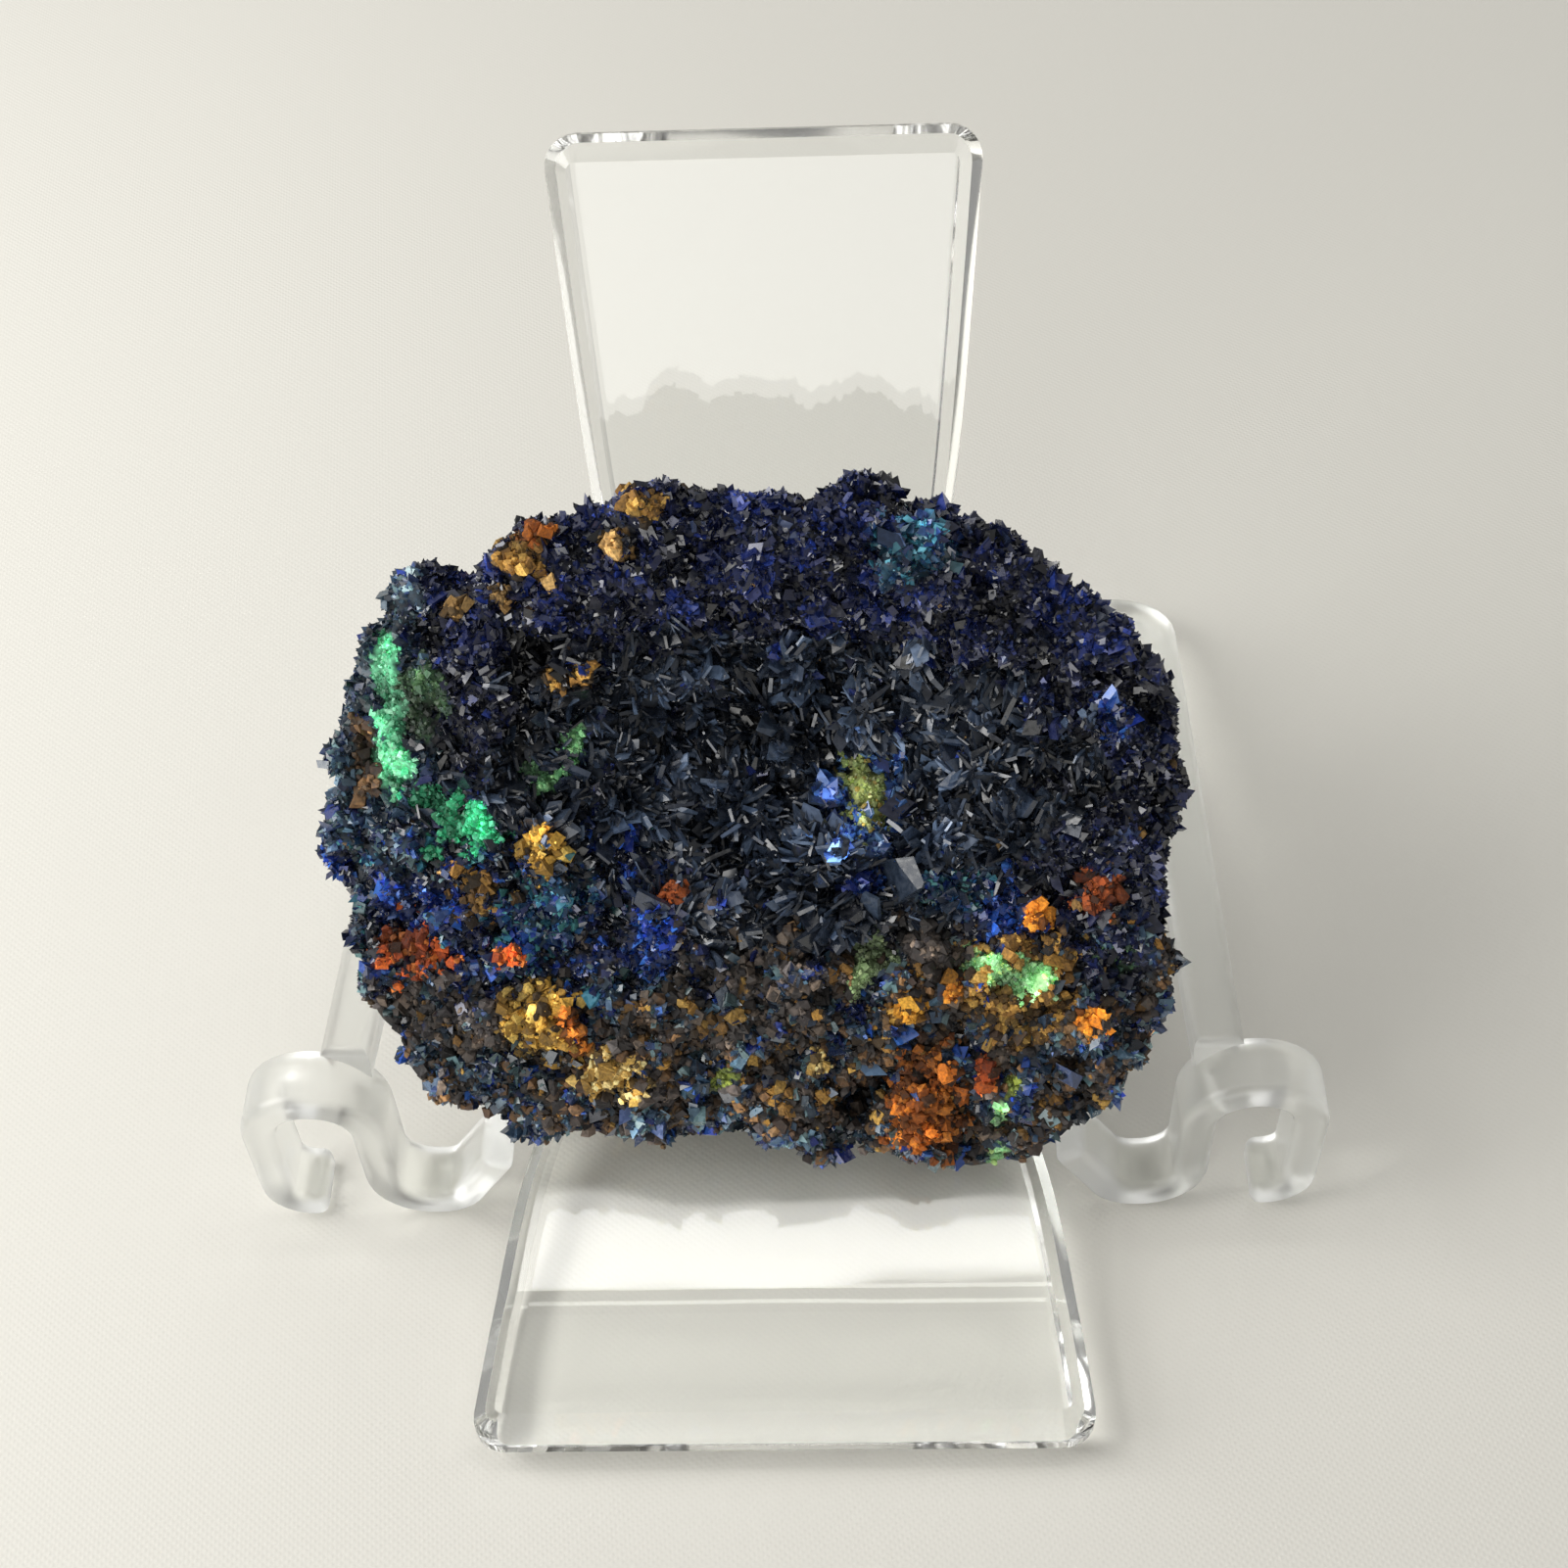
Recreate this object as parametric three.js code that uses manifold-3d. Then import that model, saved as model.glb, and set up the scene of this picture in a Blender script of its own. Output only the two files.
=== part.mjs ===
// A slab of azurite druse that leans on a clear two-piece plastic easel.
// Millimetres, +Z up, front towards -Y, origin on the table under the middle of the easel.
import * as THREE from "three";
import { ImprovedNoise } from "three/addons/math/ImprovedNoise.js";
import { mergeVertices } from "three/addons/utils/BufferGeometryUtils.js";
import Module from "manifold-3d";

const wasm = await Module();
wasm.setup();

const { clamp, degToRad, lerp, smoothstep } = THREE.MathUtils;

// Easel as a whole. Depths are measured back from the foot's front edge.
const EASEL_DEPTH = 76.2;
const FRONT_Y = -EASEL_DEPTH / 2;

// Back piece: a foot that lies on the table, rises a little, bends and leans back.
const BACK_PLATE = 4;
const FOOT_FLAT = 10;
const FOOT_RISE = degToRad(8);
const FOOT_BEND_RADIUS = 14;
const BACK_LEAN = degToRad(63);
const BACK_FACE_DEPTH = 38;
const BACK_LINE_DEPTH = BACK_FACE_DEPTH + BACK_PLATE / 2 / Math.sin(BACK_LEAN);
const BACK_HEIGHT = 56.6;
const KNEE_RADIUS = 7;
const BACK_CORNER_RADIUS = 2.4;
const BACK_STATIONS = 72;
// Half width at a distance along the plate: wide foot, narrow neck, wider head.
const BACK_HALF_WIDTHS = [
  [0, 20.7],
  [10, 19.8],
  [20, 18.3],
  [28, 15.9],
  [34.5, 12.9],
  [40, 10.9],
  [46, 10.4],
  [56, 11],
  [76, 13.1],
  [103, 15.2],
];

// Cradle: a forked plate that slopes down to the table behind, with a scroll on each arm.
const CRADLE_PLATE = 3;
const CRADLE_SLOPE = degToRad(13.1);
const REAR_EDGE_DEPTH = EASEL_DEPTH - CRADLE_PLATE * Math.sin(CRADLE_SLOPE);
const ARM_FRONT_DEPTH = 21.8;
const ARM_INNER = 27.8;
const ARM_OUTER = 31.2;
const REAR_HALF_WIDTH = 32.5;
const REAR_CORNER_RADIUS = 5;
const FORK_DEPTH = 43.5;
const FORK_CORNER_RADIUS = 4;
const RECESS_DEPTH = 47.6;
const RECESS_HALF_WIDTH = 11.2;

// Scroll: a ribbon bent in an S, seen from the front, standing on the table.
const SCROLL_THICKNESS = 2.4;
const SCROLL_FRONT_DEPTH = 18.6;
const SCROLL_WIDTH = 4.6;
const SCROLL_STEPS = 44;
const TABLE_LEVEL = SCROLL_THICKNESS / 2;
const ARCH_LEVEL = 13.8;
const SCROLL_INNER = 28.2;
const SCROLL_OUTER = 35.8;
// Corners of the ribbon's middle line and the radius at each, from the cup's lip to the curled end.
const SCROLL_CORNERS = [
  [19.6, 7, 0],
  [23.2, TABLE_LEVEL, 2.5],
  [SCROLL_INNER, TABLE_LEVEL, 3.3],
  [SCROLL_INNER, ARCH_LEVEL, 3.7],
  [SCROLL_OUTER, ARCH_LEVEL, 3.7],
  [SCROLL_OUTER, TABLE_LEVEL, 3],
  [32.7, TABLE_LEVEL, 0],
];

// Stone: its face leans back. On the face, u runs right, v runs up and w comes out.
const FACE_LEAN = degToRad(56);
const STONE_X = -1;
const STONE_DEPTH = 31.3;
const STONE_Z = 26.5;
const STONE_DETAIL = 16;
const STONE_INNER_RADIUS = 26;
// The rim lies below the face's plane, less so along the lower edge.
const RIM_DROP = 3;
const RIM_DROP_POWER = 5;
const LOWER_RIM = { drop: 0.8, from: -15, to: -5 };
// The back is full at the top and thins towards the lower edge, between the cradle's arms.
const STONE_BACK = 16.4;
const FULL_BACK = { from: -10, to: 4 };
const THIN_DOME = { edge: 2.2, crown: 0.8 };
const FULL_DOME = { edge: 3, crown: 0.6 };
// The underside slopes away from the lower edge, so that the stone clears the foot.
const UNDERSIDE_START = 26.3;
const UNDERSIDE_SLOPE = 1.15;
// Relief of the face: a wide bowl, a bank of matrix below it and a small pit in the bank.
const RELIEF_FADE_POWER = 8;
const BOWL = { u: 3, v: 6.5, across: 21, up: 12.5, depth: 6.5 };
const PIT = { u: 6.9, v: -17.7, across: 2.6, up: 2.6, depth: 5 };
const HOLLOW_FLOOR = 0.25;
const HOLLOW_LIP = 1.1;
const BANK = { height: 1.4, from: -13, to: -6 };
const COARSE_LUMP = { size: 7, height: 1.1 };
const FINE_LUMP = { size: 2.6, height: 0.55 };
// Edge of the stone on its face, anticlockwise from the right side.
const STONE_EDGE = [
  [28.6, 4],
  [27.9, 8.2],
  [24.9, 12.2],
  [20.8, 15.7],
  [16, 19.3],
  [11.5, 21.6],
  [7, 23.3],
  [3.5, 22],
  [-2, 22.1],
  [-5.4, 22.6],
  [-9.5, 21.5],
  [-14.2, 20.7],
  [-17.3, 18.8],
  [-17.8, 15.9],
  [-19.6, 16.7],
  [-22.9, 17.7],
  [-25, 16.2],
  [-26.1, 13.3],
  [-27.8, 8],
  [-28.5, 2.5],
  [-29.1, -3.2],
  [-28.6, -6],
  [-27.8, -10.6],
  [-25.4, -14.9],
  [-20.5, -18.8],
  [-16.5, -21.5],
  [-12.5, -21],
  [-7, -22.2],
  [-3.5, -21.2],
  [1, -22],
  [4.5, -23],
  [8.6, -22.6],
  [14, -23.9],
  [18.8, -22.9],
  [23.6, -19],
  [26.6, -14.4],
  [27.6, -8.5],
  [27.8, -2],
];

// A line through corners [x, y, radius], with an arc of that radius at each inner corner.
function roundedLine(corners, closed = false) {
  const line = closed ? new THREE.Shape() : new THREE.Path();
  const count = corners.length;
  corners.forEach(([x, y, radius], i) => {
    const corner = new THREE.Vector2(x, y);
    const isEnd = !closed && (i === 0 || i === count - 1);
    const before = new THREE.Vector2(...corners[(i + count - 1) % count]).sub(corner).normalize();
    const after = new THREE.Vector2(...corners[(i + 1) % count]).sub(corner).normalize();
    const start = corner.clone();
    if (isEnd || radius === 0) {
      if (i === 0) line.moveTo(x, y);
      else line.lineTo(x, y);
      return;
    }
    const half = Math.acos(clamp(before.dot(after), -1, 1)) / 2;
    const reach = radius / Math.tan(half);
    start.addScaledVector(before, reach);
    const centre = before.clone().add(after).normalize().multiplyScalar(radius / Math.sin(half)).add(corner);
    const end = corner.clone().addScaledVector(after, reach);
    if (i === 0) line.moveTo(start.x, start.y);
    else line.lineTo(start.x, start.y);
    const from = start.sub(centre).angle();
    const to = end.sub(centre).angle();
    line.absarc(centre.x, centre.y, radius, from, to, before.cross(after) > 0);
  });
  if (closed) line.closePath();
  return line;
}

// Value at x on a smooth curve through [x, value] rows.
function valueAlong(rows, x) {
  const curve = new THREE.SplineCurve(rows.map(([a, b]) => new THREE.Vector2(a, b)));
  let low = 0;
  let high = 1;
  for (let i = 0; i < 30; i++) {
    const middle = (low + high) / 2;
    if (curve.getPoint(middle).x < x) low = middle;
    else high = middle;
  }
  return curve.getPoint(low).y;
}

// How far a corner of the given radius pulls an edge in, at a distance from the plate's end.
function cornerPull(distance, radius) {
  const left = Math.max(radius - distance, 0);
  return radius - Math.sqrt(radius * radius - left * left);
}

function solidFrom(geometry) {
  const bare = geometry.clone();
  bare.deleteAttribute("normal");
  bare.deleteAttribute("uv");
  const merged = mergeVertices(bare, 1e-4);
  const mesh = new wasm.Mesh({
    numProp: 3,
    vertProperties: merged.attributes.position.array,
    triVerts: new Uint32Array(merged.index.array),
  });
  return new wasm.Manifold(mesh);
}

function geometryFrom(solid) {
  const mesh = solid.getMesh();
  const geometry = new THREE.BufferGeometry();
  geometry.setAttribute("position", new THREE.BufferAttribute(mesh.vertProperties, 3));
  geometry.setIndex(new THREE.BufferAttribute(mesh.triVerts, 1));
  geometry.computeVertexNormals();
  return geometry;
}

// Middle line of the back piece from the side: depth along x, height along y.
function backLine() {
  const lean = new THREE.Vector2(Math.cos(BACK_LEAN), Math.sin(BACK_LEAN));
  const rise = Math.tan(FOOT_RISE);
  const kneeDepth =
    (BACK_PLATE / 2 - FOOT_FLAT * rise + BACK_LINE_DEPTH * Math.tan(BACK_LEAN)) / (Math.tan(BACK_LEAN) - rise);
  const kneeHeight = (kneeDepth - BACK_LINE_DEPTH) * Math.tan(BACK_LEAN);
  const topHeight = BACK_HEIGHT - (BACK_PLATE / 2) * lean.x;
  const topDepth = BACK_LINE_DEPTH + topHeight / Math.tan(BACK_LEAN);
  return roundedLine([
    [0, BACK_PLATE / 2, 0],
    [FOOT_FLAT, BACK_PLATE / 2, FOOT_BEND_RADIUS],
    [kneeDepth, kneeHeight, KNEE_RADIUS],
    [topDepth, topHeight, 0],
  ]);
}

// The back piece is a flat plate whose points are carried onto the bent middle line.
function easelBackGeometry() {
  const line = backLine();
  const length = line.getLength();
  const plate = new THREE.BoxGeometry(2, 2, BACK_PLATE, 2, BACK_STATIONS, 1);
  const points = plate.attributes.position;
  for (let i = 0; i < points.count; i++) {
    // Stations crowd towards both ends, where the corners are.
    const along = (length * (1 + Math.sin((points.getY(i) * Math.PI) / 2))) / 2;
    const place = line.getPointAt(along / length);
    const heading = line.getTangentAt(along / length);
    const toEnd = Math.min(along, length - along);
    const halfWidth = valueAlong(BACK_HALF_WIDTHS, along) - cornerPull(toEnd, BACK_CORNER_RADIUS);
    const out = points.getZ(i);
    points.setXYZ(
      i,
      points.getX(i) * halfWidth,
      FRONT_Y + place.x - out * heading.y,
      place.y + out * heading.x,
    );
  }
  plate.computeVertexNormals();
  return plate;
}

// The forked plate, drawn flat from above with its rear edge on the x axis, then tilted.
function forkGeometry() {
  const along = (depth) => (REAR_EDGE_DEPTH - depth) / Math.cos(CRADLE_SLOPE);
  const half = [
    [REAR_HALF_WIDTH, 0, REAR_CORNER_RADIUS],
    [ARM_OUTER, along(ARM_FRONT_DEPTH), 0],
    [ARM_INNER, along(ARM_FRONT_DEPTH), 0],
    [ARM_INNER, along(FORK_DEPTH), FORK_CORNER_RADIUS],
    [RECESS_HALF_WIDTH, along(FORK_DEPTH), 1],
    [RECESS_HALF_WIDTH, along(RECESS_DEPTH), 1],
  ];
  const mirrored = half.map(([x, y, radius]) => [-x, y, radius]).reverse();
  const shape = roundedLine([...half, ...mirrored], true);
  const plate = new THREE.ExtrudeGeometry(shape, { depth: CRADLE_PLATE, bevelEnabled: false, curveSegments: 5 });
  plate.rotateZ(Math.PI);
  plate.rotateX(-CRADLE_SLOPE);
  plate.translate(0, FRONT_Y + REAR_EDGE_DEPTH, 0);
  return plate;
}

// One scroll on the +X side: the ribbon's outline from the front, extruded backwards.
function scrollGeometry() {
  const line = roundedLine(SCROLL_CORNERS);
  const left = [];
  const right = [];
  for (let i = 0; i <= SCROLL_STEPS; i++) {
    const place = line.getPointAt(i / SCROLL_STEPS);
    const heading = line.getTangentAt(i / SCROLL_STEPS);
    const aside = new THREE.Vector2(-heading.y, heading.x).multiplyScalar(SCROLL_THICKNESS / 2);
    left.push(place.clone().add(aside));
    right.push(place.clone().sub(aside));
  }
  const outline = new THREE.Shape([...right, ...left.reverse()]);
  const ribbon = new THREE.ExtrudeGeometry(outline, { depth: SCROLL_WIDTH, bevelEnabled: false });
  ribbon.rotateX(Math.PI / 2);
  ribbon.translate(0, FRONT_Y + SCROLL_FRONT_DEPTH + SCROLL_WIDTH, 0);
  return ribbon;
}

function easelCradleGeometry() {
  const scroll = solidFrom(scrollGeometry());
  const fork = solidFrom(forkGeometry());
  return geometryFrom(fork.add(scroll).add(scroll.mirror([1, 0, 0])));
}

// Distance from the face's middle to the stone's edge, by angle.
function edgeRadius() {
  const corners = STONE_EDGE.map(([u, v]) => new THREE.Vector3(u, v, 0));
  const rim = new THREE.CatmullRomCurve3(corners, true).getPoints(STONE_EDGE.length * 12);
  const rows = rim.map((p) => [Math.atan2(p.y, p.x), Math.hypot(p.x, p.y)]);
  rows.sort((a, b) => a[0] - b[0]);
  return (angle) => {
    const next = rows.findIndex((row) => row[0] >= angle);
    const b = rows[Math.max(next, 0)];
    const a = rows[(Math.max(next, 0) + rows.length - 1) % rows.length];
    const span = b[0] - a[0];
    if (next <= 0 || span < 1e-9) return b[1];
    return a[1] + ((b[1] - a[1]) * (angle - a[0])) / span;
  };
}

// A rounded hollow in the face, deepest at its middle.
function hollow({ u, v, across, up, depth }, atU, atV) {
  const reach = Math.hypot((atU - u) / across, (atV - v) / up);
  return -depth * (1 - smoothstep(reach, HOLLOW_FLOOR, HOLLOW_LIP));
}

// Height of the face over its plane.
function faceHeight(u, v) {
  const bank = BANK.height * (1 - smoothstep(v, BANK.from, BANK.to));
  return hollow(BOWL, u, v) + hollow(PIT, u, v) + bank;
}

function stoneGeometry() {
  const radiusAt = edgeRadius();
  const noise = new ImprovedNoise();
  const lump = ({ size, height }, p) => height * noise.noise(p.x / size, p.y / size, p.z / size);
  const stone = new THREE.IcosahedronGeometry(1, STONE_DETAIL);
  const points = stone.attributes.position;
  const outward = new THREE.Vector3();
  const place = new THREE.Vector3();
  for (let i = 0; i < points.count; i++) {
    outward.fromBufferAttribute(points, i).normalize();
    const toRim = Math.asin(Math.min(Math.hypot(outward.x, outward.y), 1)) / (Math.PI / 2);
    const angle = Math.atan2(outward.y, outward.x);
    const radius = radiusAt(angle);
    // Towards the middle the points spread evenly, and towards the rim they follow the edge.
    const reach = toRim * lerp(STONE_INNER_RADIUS, radius, toRim ** 2);
    const u = Math.cos(angle) * reach;
    const v = Math.sin(angle) * reach;
    const lower = 1 - smoothstep(Math.sin(angle) * radius, LOWER_RIM.from, LOWER_RIM.to);
    const drop = lerp(RIM_DROP, LOWER_RIM.drop, lower);
    let w = faceHeight(u, v) * (1 - toRim ** RELIEF_FADE_POWER) - drop * toRim ** RIM_DROP_POWER;
    if (outward.z < 0) {
      const deepest = Math.min(STONE_BACK, UNDERSIDE_SLOPE * (v + UNDERSIDE_START));
      const full = smoothstep(v, FULL_BACK.from, FULL_BACK.to);
      const toEdge = 1 - toRim ** lerp(THIN_DOME.edge, FULL_DOME.edge, full);
      const dome = toEdge ** lerp(THIN_DOME.crown, FULL_DOME.crown, full);
      w = -drop - Math.max(deepest - drop, 0) * dome;
    }
    place.set(u, v, w);
    const bump = lump(COARSE_LUMP, place) + lump(FINE_LUMP, place);
    place.addScaledVector(outward, bump);
    points.setXYZ(i, place.x, place.y, place.z);
  }
  stone.deleteAttribute("normal");
  stone.deleteAttribute("uv");
  const merged = mergeVertices(stone, 1e-3);
  merged.computeVertexNormals();
  return merged;
}

function clearPlastic() {
  return new THREE.MeshStandardMaterial({
    color: 0xe9edeb,
    roughness: 0.08,
    metalness: 0,
    transparent: true,
    opacity: 0.35,
  });
}

const easelBack = new THREE.Mesh(easelBackGeometry(), clearPlastic());
easelBack.name = "easel_back";

const easelCradle = new THREE.Mesh(easelCradleGeometry(), clearPlastic());
easelCradle.name = "easel_cradle";

const stoneFinish = new THREE.MeshStandardMaterial({ color: 0x1c2747, roughness: 0.55, metalness: 0 });
const stone = new THREE.Mesh(stoneGeometry(), stoneFinish);
stone.name = "azurite_specimen";
stone.position.set(STONE_X, FRONT_Y + STONE_DEPTH, STONE_Z);
stone.rotation.x = FACE_LEAN;

const specimenOnEasel = new THREE.Group();
specimenOnEasel.add(easelBack, easelCradle, stone);

export default specimenOnEasel;
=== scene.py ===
# %% [markdown]
# # A slab of azurite on a clear easel
# The stone is a druse: thousands of small azurite blades that grew side by side on a rusty matrix, with crusts of
# green malachite and lumps of orange limonite. It leans on an easel of two clear plastic mouldings.
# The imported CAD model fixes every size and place. This lesson loads it as a frame and replaces each plain solid
# with a finished piece in the same place.

# %% Load the frame
import math

import bmesh
import bpy
import numpy as np
from mathutils import Matrix, Vector, noise
from mathutils.bvhtree import BVHTree


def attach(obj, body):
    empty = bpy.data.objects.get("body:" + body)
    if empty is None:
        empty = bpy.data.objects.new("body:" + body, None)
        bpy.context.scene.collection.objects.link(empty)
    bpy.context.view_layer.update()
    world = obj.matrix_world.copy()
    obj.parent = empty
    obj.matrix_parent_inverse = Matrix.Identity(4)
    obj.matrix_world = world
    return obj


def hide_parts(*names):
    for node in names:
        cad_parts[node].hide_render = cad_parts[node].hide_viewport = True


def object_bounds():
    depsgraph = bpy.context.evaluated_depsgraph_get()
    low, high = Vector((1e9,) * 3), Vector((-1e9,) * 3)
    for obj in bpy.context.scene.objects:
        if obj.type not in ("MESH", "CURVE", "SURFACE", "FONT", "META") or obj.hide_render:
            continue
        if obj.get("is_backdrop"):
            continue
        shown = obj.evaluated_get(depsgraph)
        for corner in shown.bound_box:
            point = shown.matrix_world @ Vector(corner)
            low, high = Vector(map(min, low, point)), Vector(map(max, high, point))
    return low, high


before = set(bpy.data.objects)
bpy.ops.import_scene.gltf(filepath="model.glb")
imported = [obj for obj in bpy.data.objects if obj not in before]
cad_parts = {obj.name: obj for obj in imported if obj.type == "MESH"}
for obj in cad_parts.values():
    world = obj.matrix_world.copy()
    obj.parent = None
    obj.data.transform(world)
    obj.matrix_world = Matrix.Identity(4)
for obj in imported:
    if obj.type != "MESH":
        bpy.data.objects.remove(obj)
cad_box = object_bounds()
scene = bpy.context.scene
MM = 0.001
rng = np.random.default_rng(20)
noise.seed_set(20)  # else noise vectors start from the clock
print("CAD nodes:", ", ".join(sorted(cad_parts)))

# %% [markdown]
# Four small helpers serve the whole lesson. Colours are written as sRGB hex values, as a paint program shows them, and
# shaders need them linear. One function adds a node with its settings and links, so that a material reads as a list.


# %% Colour, node and object helpers
def linear(hex_code):
    parts = (int(hex_code[i : i + 2], 16) / 255 for i in (0, 2, 4))
    return [c / 12.92 if c <= 0.04045 else ((c + 0.055) / 1.055) ** 2.4 for c in parts] + [1.0]


def add_node(tree, kind, values=None, links=None, **settings):
    node = tree.nodes.new("ShaderNode" + kind)
    for name, value in settings.items():
        setattr(node, name, value)
    for socket, value in (values or {}).items():
        node.inputs[socket].default_value = value
    for socket, source in (links or {}).items():
        tree.links.new(source, node.inputs[socket])
    return node


def start_material(name):
    material = bpy.data.materials.new(name)
    material.use_nodes = True
    material.node_tree.nodes.clear()
    return material, material.node_tree


def place_mesh(name, mesh, material):
    piece = bpy.data.objects.new(name, mesh)
    scene.collection.objects.link(piece)
    mesh.materials.clear()
    mesh.materials.append(material)
    return piece


print("white is", linear("ffffff")[:3])

# %% [markdown]
# ## Camera
# The photograph looks down on the stone at about 50 degrees, from a little to the right, with the picture turned by
# about 3 degrees. The focal length was fitted in pixels of a 1601 pixel frame and becomes a lens for a 36 mm sensor.

# %% Camera
EYE = Vector((5.97, -103.48, 147.6)) * MM
ELEVATION = math.radians(50)
AZIMUTH = math.radians(3)
ROLL = math.radians(-3.3)
FRAME_PIXELS = 1601
FOCAL_PIXELS = 2400
SENSOR = 36

ahead = Vector((-math.sin(AZIMUTH), math.cos(AZIMUTH), 0))
level = Vector((math.cos(AZIMUTH), math.sin(AZIMUTH), 0))
look = ahead * math.cos(ELEVATION) - Vector((0, 0, math.sin(ELEVATION)))
upright = ahead * math.sin(ELEVATION) + Vector((0, 0, math.cos(ELEVATION)))
right = level * math.cos(ROLL) + upright * math.sin(ROLL)
up = upright * math.cos(ROLL) - level * math.sin(ROLL)

camera = bpy.data.objects.new("camera", bpy.data.cameras.new("camera"))
camera.data.sensor_width = SENSOR
camera.data.lens = SENSOR * FOCAL_PIXELS / FRAME_PIXELS
camera.data.clip_start = 0.01
camera.matrix_world = Matrix.Translation(EYE) @ Matrix((right, up, -look)).transposed().to_4x4()
scene.collection.objects.link(camera)
scene.camera = camera
print("lens", round(camera.data.lens, 2), "mm")

# %% [markdown]
# ## Light
# The key light is a softbox close by on the left, so the cloth is brightest there and shadows fall to the right. A low
# window in front lights the crystals more than the cloth, and its mirror image brightens the back plate. A long narrow
# lamp overhead shows as a bright band on the easel's foot, the ceiling behind it as a faint sheen, and a pale world
# fills the shadows.

# %% Lights and world
scene.view_settings.view_transform = "Standard"
world = bpy.data.worlds.new("pale studio")
world.use_nodes = True
world.node_tree.nodes["Background"].inputs["Color"].default_value = linear("fffefb")
world.node_tree.nodes["Background"].inputs["Strength"].default_value = 0.29
scene.world = world
# Light that has crossed the clear plates must still reach the cloth under them, so none of it is cut off or blurred.
scene.cycles.max_bounces = 20
scene.cycles.glossy_bounces = 14
scene.cycles.transmission_bounces = 20
scene.cycles.sample_clamp_indirect = 0
scene.cycles.blur_glossy = 0

# name, place and aim in mm, length and width in mm, watts
LAMPS = [
    ("left softbox", (-300, -10, 200), (-20, 0, 5), 260, 260, 1.1),
    ("front window", (-150, -640, 150), (0, 0, 30), 700, 300, 1.8),
    ("overhead lamp", (0, 140, 720), (0, -10, 10), 900, 34, 0.6),
    ("ceiling", (0, 520, 620), (0, -20, 0), 900, 600, 1.0),
]
for name, spot, aim, long, wide, watts in LAMPS:
    lamp = bpy.data.lights.new(name, "AREA")
    lamp.shape = "RECTANGLE"
    lamp.size = long * MM
    lamp.size_y = wide * MM
    lamp.energy = watts
    lamp.color = linear("fffefb")[:3]
    holder = bpy.data.objects.new(name, lamp)
    holder.location = Vector(spot) * MM
    holder.rotation_euler = (Vector(aim) - Vector(spot)).to_track_quat("-Z", "Y").to_euler()
    scene.collection.objects.link(holder)
print(len(LAMPS), "lamps")

# %% [markdown]
# ## Floor
# The table is covered with off-white cotton. A plane is enough for it. The threads are about 0.4 mm apart, so two wave
# textures cross each other at that spacing in a faint bump.

# %% Floor
FLOOR_SIZE = 3.0
THREAD_SPACING = 0.4 * MM

cotton, tree = start_material("off-white cotton cloth")
place = add_node(tree, "TexCoord").outputs["Object"]
turned = add_node(tree, "Mapping", {"Rotation": (0, 0, math.radians(38))}, {"Vector": place})
threads = [
    add_node(
        tree,
        "TexWave",
        {"Scale": 2 * math.pi / (20 * THREAD_SPACING)},
        {"Vector": turned.outputs["Vector"]},
        bands_direction=direction,
    )
    for direction in ("X", "Y")
]
weave = add_node(
    tree, "Math", links={0: threads[0].outputs["Fac"], 1: threads[1].outputs["Fac"]}, operation="MULTIPLY"
)
bump = add_node(tree, "Bump", {"Strength": 0.25, "Distance": 0.05 * MM}, {"Height": weave.outputs["Value"]})
surface = add_node(
    tree,
    "BsdfPrincipled",
    {"Base Color": linear("e6e4dd"), "Roughness": 0.9, "Specular IOR Level": 0.2},
    {"Normal": bump.outputs["Normal"]},
)
add_node(tree, "OutputMaterial", links={"Surface": surface.outputs["BSDF"]})

bm = bmesh.new()
bmesh.ops.create_grid(bm, x_segments=1, y_segments=1, size=FLOOR_SIZE / 2)
bmesh.ops.translate(bm, verts=bm.verts, vec=(0, 0, -0.05 * MM))
cloth = bpy.data.meshes.new("table_cloth")
bm.to_mesh(cloth)
bm.free()
place_mesh("table_cloth", cloth, cotton)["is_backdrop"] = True
print("floor", FLOOR_SIZE, "m wide")

# %% [markdown]
# ## Clear plastic
# Such easels are moulded in clear acrylic, which has an index of refraction of 1.49. A polished mould leaves the back
# piece glossy, with sharp reflections of the lamps. The cradle comes from a satin mould, so the cloth behind it is
# blurred and its scrolls look frosted. A moulded plate is never quite flat, so a weak bump bends the reflections.

# %% Clear plastic materials
WAVE_SIZE = 9 * MM


def clear_acrylic(name, roughness):
    """See-through to the eye, with a bright mirror image of the lamps wherever a face turns towards them."""
    material, tree = start_material(name)
    place = add_node(tree, "TexCoord").outputs["Object"]
    waves = add_node(tree, "TexNoise", {"Scale": 1 / WAVE_SIZE, "Detail": 0}, {"Vector": place})
    bump = add_node(tree, "Bump", {"Strength": 0.4, "Distance": 0.12 * MM}, {"Height": waves.outputs["Fac"]})
    surface = add_node(
        tree,
        "BsdfPrincipled",
        {"Base Color": linear("fdfefd"), "Roughness": roughness, "IOR": 1.49, "Transmission Weight": 1.0},
        {"Normal": bump.outputs["Normal"]},
    )
    add_node(tree, "OutputMaterial", links={"Surface": surface.outputs["BSDF"]})
    return material


glossy_plastic = clear_acrylic("clear moulded acrylic, polished mould", 0.03)
satin_plastic = clear_acrylic("clear moulded acrylic, satin mould", 0.3)
print(glossy_plastic.name, "and", satin_plastic.name)

# %% [markdown]
# ## Easel back
# The back piece is one plate, 4 mm thick, with chamfered edges that show as a band all round. It lies on the table as a
# foot, rises a little, bends behind the stone and leans back. Bent shapes are easiest to make flat: the outline is
# drawn as a strip, given its round corners, its thickness and its chamfers, sliced where it has to bend, and then
# carried onto the bent middle line.

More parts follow.
